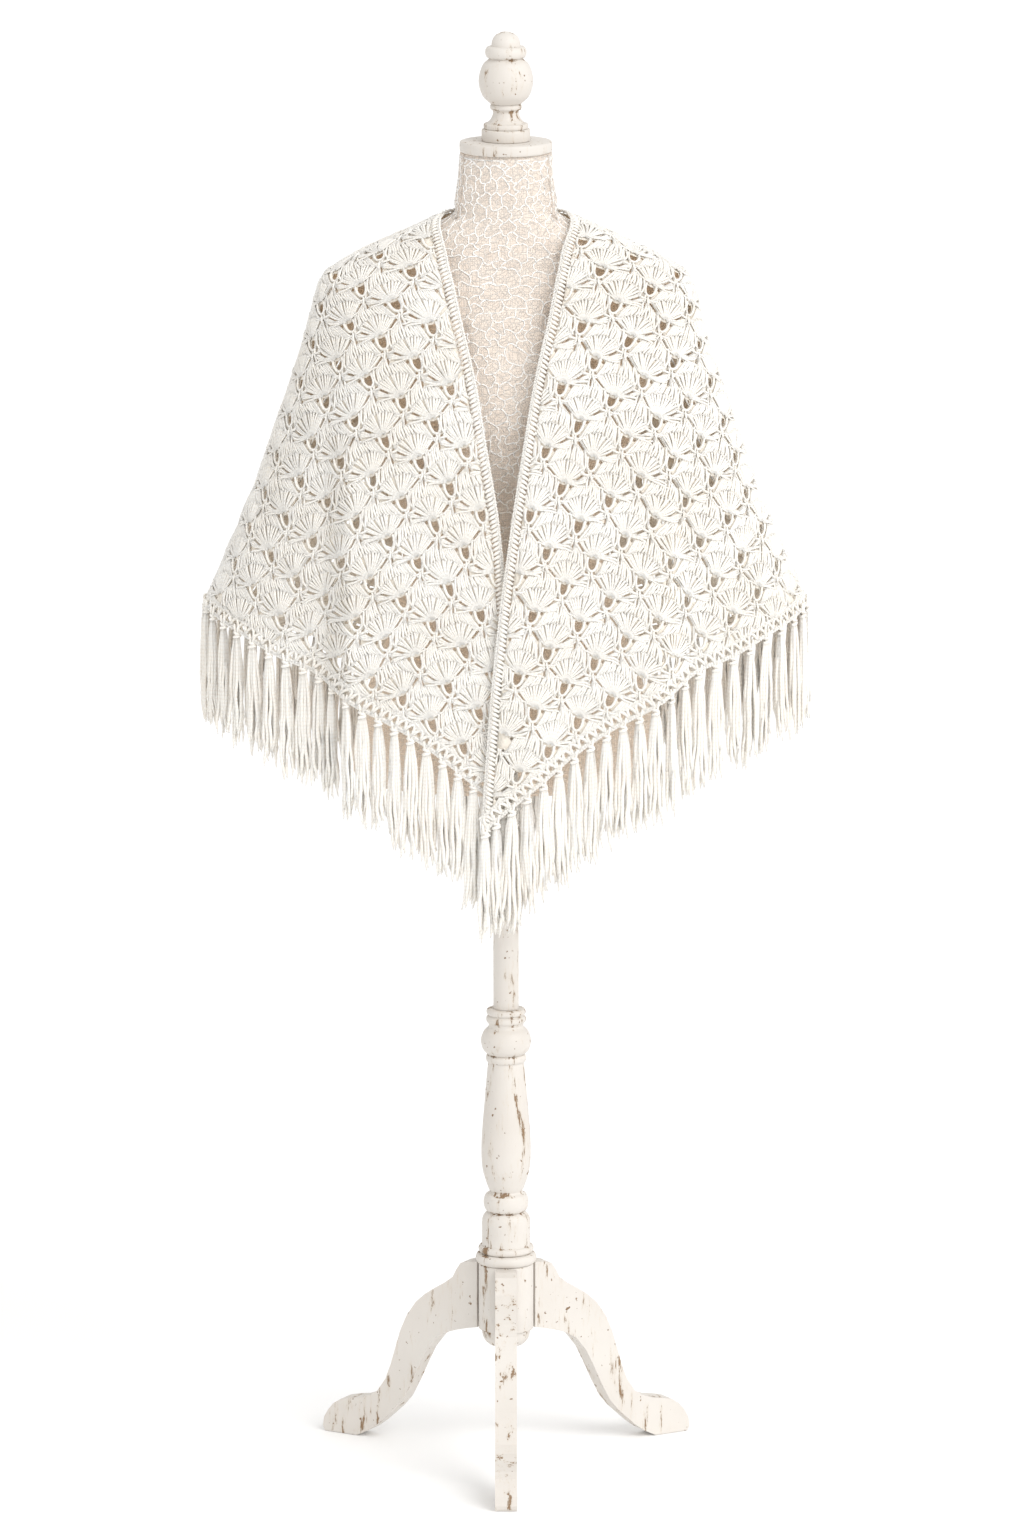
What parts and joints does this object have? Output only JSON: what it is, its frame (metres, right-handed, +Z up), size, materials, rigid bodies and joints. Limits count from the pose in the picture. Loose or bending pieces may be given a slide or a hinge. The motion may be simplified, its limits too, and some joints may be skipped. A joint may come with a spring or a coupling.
{
  "type": "lace shawl on a dress form",
  "caption": "Shell-stitch crochet lace shawl with a knotted fringe, draped over a limbless dress form on a turned wooden stand.",
  "frame": {"origin": "on the floor, under the middle of the whole object's box", "axes": "+Z is up, -Y is the open front, +X is the viewer's right"},
  "size_m": [0.6652, 0.3937, 1.597],
  "materials": {
    "yarn": "soft ivory yarn, crocheted in open shells, matt with a slight fuzz",
    "form_cover": "beige linen under an off-white corded lace, matt",
    "painted_wood": "chalky white paint, rubbed through to brown wood along edges and grooves"
  },
  "bodies": {
    "root": {"shawl_front_left": "yarn", "shawl_front_right": "yarn", "shawl_back_left": "yarn", "shawl_back_right": "yarn", "edge_band_left": "yarn", "edge_band_right": "yarn", "fringe_front_left": "yarn", "fringe_front_right": "yarn", "fringe_back_left": "yarn", "fringe_back_right": "yarn", "form_torso": "form_cover", "neck_cap": "painted_wood", "finial": "painted_wood", "pole": "painted_wood", "column": "painted_wood", "hub": "painted_wood", "leg_front": "painted_wood", "leg_left": "painted_wood", "leg_right": "painted_wood"}
  },
  "joints": []
}
